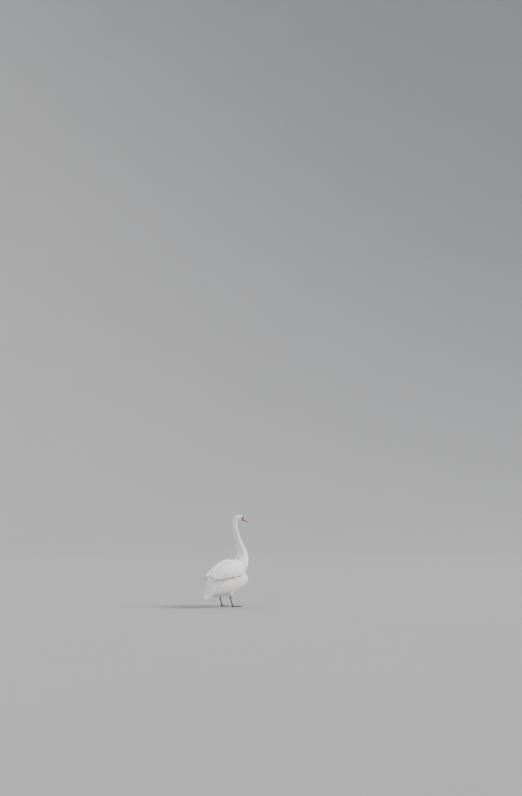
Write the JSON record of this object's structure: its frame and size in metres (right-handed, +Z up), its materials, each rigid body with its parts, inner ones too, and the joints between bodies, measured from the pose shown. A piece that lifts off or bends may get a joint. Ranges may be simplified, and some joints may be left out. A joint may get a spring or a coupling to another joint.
{
  "type": "mute swan figure",
  "caption": "Life-size still figure of an adult mute swan standing on webbed feet with folded wings, raised curved neck and head turned to its right.",
  "frame": {"origin": "on the floor under the middle of the figure's box", "axes": "+X is the way the body faces, from tail to breast, +Y is the swan's left side, +Z is up; the soles lie on z = 0"},
  "size_m": [0.7764, 0.3456, 1.1343],
  "materials": {
    "plumage": "soft overlapping white feathers, faintly cream on head and neck",
    "bill": "satin orange horn, black nail, edges and nostrils",
    "black_skin": "black scaly skin on legs, webs, lores and knob",
    "eye": "wet, very dark brown"
  },
  "bodies": {
    "root": {"trunk": "plumage", "neck": "plumage", "head": "plumage", "wing_left": "plumage", "wing_right": "plumage", "primaries_left": "plumage", "primaries_right": "plumage", "tail": "plumage", "thigh_left": "plumage", "thigh_right": "plumage", "bill_upper": "bill", "bill_lower": "bill", "bill_knob": "black_skin", "shank_left": "black_skin", "shank_right": "black_skin", "foot_left": "black_skin", "foot_right": "black_skin", "hallux_left": "black_skin", "hallux_right": "black_skin", "eye_left": "eye", "eye_right": "eye"}
  },
  "joints": []
}
